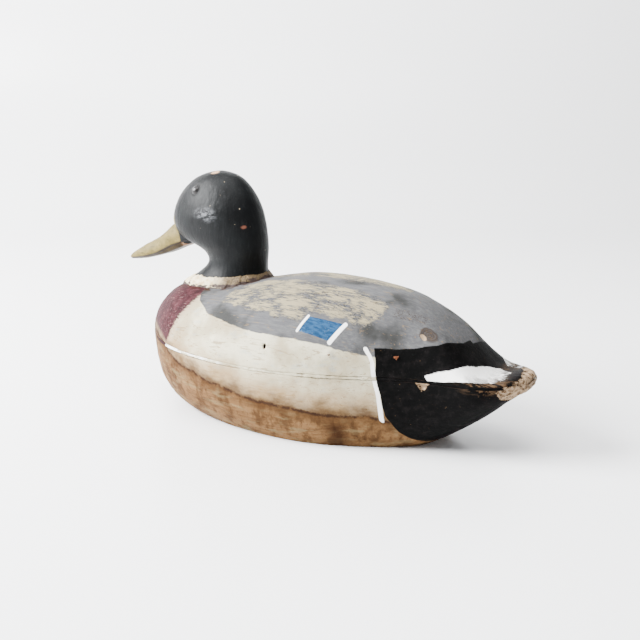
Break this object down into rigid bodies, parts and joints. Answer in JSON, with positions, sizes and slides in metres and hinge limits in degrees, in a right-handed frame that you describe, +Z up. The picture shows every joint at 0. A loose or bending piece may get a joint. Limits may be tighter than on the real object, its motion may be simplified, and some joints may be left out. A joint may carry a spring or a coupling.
{
  "type": "duck decoy",
  "caption": "Hollow carved wooden mallard drake decoy, made of two glued planks with a set-in head, glass eyes, inlet ballast and a folding line ring.",
  "frame": {"origin": "on the flat bottom, in the bird's middle plane, under the middle of the body", "axes": "+X towards the bill, +Y to the bird's left, +Z up"},
  "size_m": [0.3958, 0.1672, 0.2058],
  "materials": {
    "painted_wood": "worn oil paint, matte",
    "weathered_wood": "bare and stained, matte",
    "painted_head": "worn oil paint, satin",
    "putty": "dried putty, matte",
    "steel": "plain",
    "rusty_iron": "rusted",
    "black_glass": "polished",
    "dowel_wood": "bare",
    "lead": "dull grey lead",
    "brass": "tarnished"
  },
  "bodies": {
    "decoy": {"upper_body": "painted_wood", "lower_body": "weathered_wood", "head": "painted_head", "neck_putty": "putty", "neck_screw": "steel", "neck_washer": "steel", "toe_nails": "rusty_iron", "left_eye": "black_glass", "right_eye": "black_glass", "left_eye_wire": "steel", "right_eye_wire": "steel", "seam_caulk": "putty", "seam_dowels": "dowel_wood", "seam_nails": "rusty_iron", "ballast_weight": "lead", "ballast_screws": "brass", "line_staple": "rusty_iron"},
    "ring": {"line_ring": "brass"}
  },
  "joints": [
    {"name": "ring_swing", "type": "hinge", "parent": "decoy", "child": "ring", "pos_m": [0.103, 0, 0.004], "axis": [0, -1, 0], "range_deg": [0, 100]}
  ]
}
